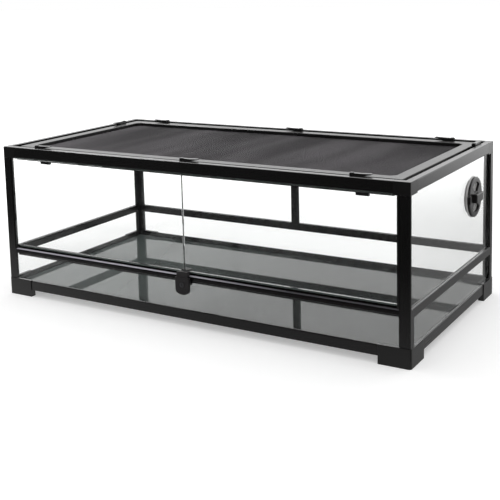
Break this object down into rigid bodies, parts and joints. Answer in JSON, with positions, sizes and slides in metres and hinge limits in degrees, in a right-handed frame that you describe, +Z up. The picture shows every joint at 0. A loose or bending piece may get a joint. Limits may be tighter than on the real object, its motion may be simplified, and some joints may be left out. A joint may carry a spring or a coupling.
{
  "type": "glass terrarium",
  "caption": "Low glass terrarium with a black frame on corner feet, hinged front doors over a sill with a centre lock, a lift-off mesh top and a rotary side vent.",
  "frame": {"origin": "on the resting plane, midway between the feet", "axes": "+X to the right seen from the front, +Y to the back, +Z up; the doors face -Y"},
  "size_m": [1.2369, 0.6248, 0.4348],
  "materials": {
    "frame_black": "black anodised, satin",
    "plastic_black": "moulded black plastic",
    "lock_black": "black coated zinc casting",
    "cylinder_grey": "dark turned metal",
    "clear_glass": "clear float glass, ground edges",
    "floor_black": "glossy black-backed glass",
    "seal_grey": "soft grey-green strip",
    "mesh_black": "black woven wire mesh"
  },
  "bodies": {
    "case": {"foot_front_left": "plastic_black", "lower_post_front_left": "frame_black", "top_corner_front_left": "plastic_black", "foot_front_right": "plastic_black", "lower_post_front_right": "frame_black", "top_corner_front_right": "plastic_black", "foot_rear_left": "plastic_black", "lower_post_rear_left": "frame_black", "top_corner_rear_left": "plastic_black", "foot_rear_right": "plastic_black", "lower_post_rear_right": "frame_black", "top_corner_rear_right": "plastic_black", "base_rail_front": "frame_black", "lower_glass_front": "clear_glass", "top_rail_front": "frame_black", "base_rail_rear": "frame_black", "lower_glass_rear": "clear_glass", "top_rail_rear": "frame_black", "base_rail_left": "frame_black", "lower_glass_left": "clear_glass", "top_rail_left": "frame_black", "base_rail_right": "frame_black", "lower_glass_right": "clear_glass", "top_rail_right": "frame_black", "middle_rail_rear": "frame_black", "middle_rail_left": "frame_black", "middle_rail_right": "frame_black", "front_sill": "frame_black", "door_jamb_left": "frame_black", "door_jamb_right": "frame_black", "upper_post_rear_left": "frame_black", "upper_post_rear_right": "frame_black", "rear_centre_post": "frame_black", "floor_panel": "floor_black", "rear_glass_left": "clear_glass", "rear_glass_right": "clear_glass", "side_glass_left": "clear_glass", "side_glass_right": "clear_glass", "door_seal_bottom": "seal_grey", "door_seal_top": "seal_grey", "lock_body": "lock_black", "vent_flange": "plastic_black", "vent_nut": "plastic_black"},
    "door_left": {"door_glass_left": "clear_glass", "door_stile_left": "plastic_black"},
    "door_right": {"door_glass_right": "clear_glass", "door_stile_right": "plastic_black"},
    "catch": {"lock_catch": "lock_black"},
    "key_cylinder": {"lock_cylinder": "cylinder_grey"},
    "vent_dial": {"vent_dial": "plastic_black"},
    "screen_top": {"screen_frame": "frame_black", "screen_mesh": "mesh_black"},
    "latch_front_left": {"screen_latch_front_left": "plastic_black"},
    "latch_front_middle": {"screen_latch_front_middle": "plastic_black"},
    "latch_front_right": {"screen_latch_front_right": "plastic_black"},
    "latch_rear_right": {"screen_latch_rear_right": "plastic_black"},
    "latch_rear_middle": {"screen_latch_rear_middle": "plastic_black"},
    "latch_rear_left": {"screen_latch_rear_left": "plastic_black"},
    "latch_left": {"screen_latch_left": "plastic_black"},
    "latch_right": {"screen_latch_right": "plastic_black"}
  },
  "joints": [
    {"name": "door_left_hinge", "type": "hinge", "parent": "case", "child": "door_left", "pos_m": [-0.5794, -0.301, 0.2668], "axis": [0, 0, -1], "range_deg": [0, 95]},
    {"name": "door_right_hinge", "type": "hinge", "parent": "case", "child": "door_right", "pos_m": [0.5794, -0.301, 0.2668], "axis": [0, 0, 1], "range_deg": [0, 95]},
    {"name": "key_turn", "type": "hinge", "parent": "case", "child": "key_cylinder", "pos_m": [0, -0.3148, 0.1136], "axis": [0, 1, 0], "range_deg": [0, 90]},
    {"name": "catch_slide", "type": "slide", "parent": "case", "child": "catch", "axis": [0, 0, 1], "range_m": [0, 0.006]},
    {"name": "vent_turn", "type": "hinge", "parent": "case", "child": "vent_dial", "pos_m": [0.6095, 0.142, 0.306], "axis": [1, 0, 0], "range_deg": [0, 90]},
    {"name": "screen_lift", "type": "slide", "parent": "case", "child": "screen_top", "axis": [0, 0, 1], "range_m": [0, 0.15]},
    {"name": "latch_front_left_turn", "type": "hinge", "parent": "case", "child": "latch_front_left", "pos_m": [-0.50325, -0.28025, 0.424], "axis": [0, 0, 1], "range_deg": [0, 90]},
    {"name": "latch_front_middle_turn", "type": "hinge", "parent": "case", "child": "latch_front_middle", "pos_m": [-0.01225, -0.28025, 0.424], "axis": [0, 0, 1], "range_deg": [0, 90]},
    {"name": "latch_front_right_turn", "type": "hinge", "parent": "case", "child": "latch_front_right", "pos_m": [0.45875, -0.28025, 0.424], "axis": [0, 0, 1], "range_deg": [0, 90]},
    {"name": "latch_rear_right_turn", "type": "hinge", "parent": "case", "child": "latch_rear_right", "pos_m": [0.50325, 0.28025, 0.424], "axis": [0, 0, 1], "range_deg": [0, 90]},
    {"name": "latch_rear_middle_turn", "type": "hinge", "parent": "case", "child": "latch_rear_middle", "pos_m": [0.03225, 0.28025, 0.424], "axis": [0, 0, 1], "range_deg": [0, 90]},
    {"name": "latch_rear_left_turn", "type": "hinge", "parent": "case", "child": "latch_rear_left", "pos_m": [-0.45875, 0.28025, 0.424], "axis": [0, 0, 1], "range_deg": [0, 90]},
    {"name": "latch_left_turn", "type": "hinge", "parent": "case", "child": "latch_left", "pos_m": [-0.58475, 0.21225, 0.424], "axis": [0, 0, 1], "range_deg": [0, 90]},
    {"name": "latch_right_turn", "type": "hinge", "parent": "case", "child": "latch_right", "pos_m": [0.58475, 0.21275, 0.424], "axis": [0, 0, 1], "range_deg": [0, 90]}
  ],
  "couplings": [
    {"joint": "key_turn", "follows": "catch_slide", "rad_per_m": 261.7}
  ]
}
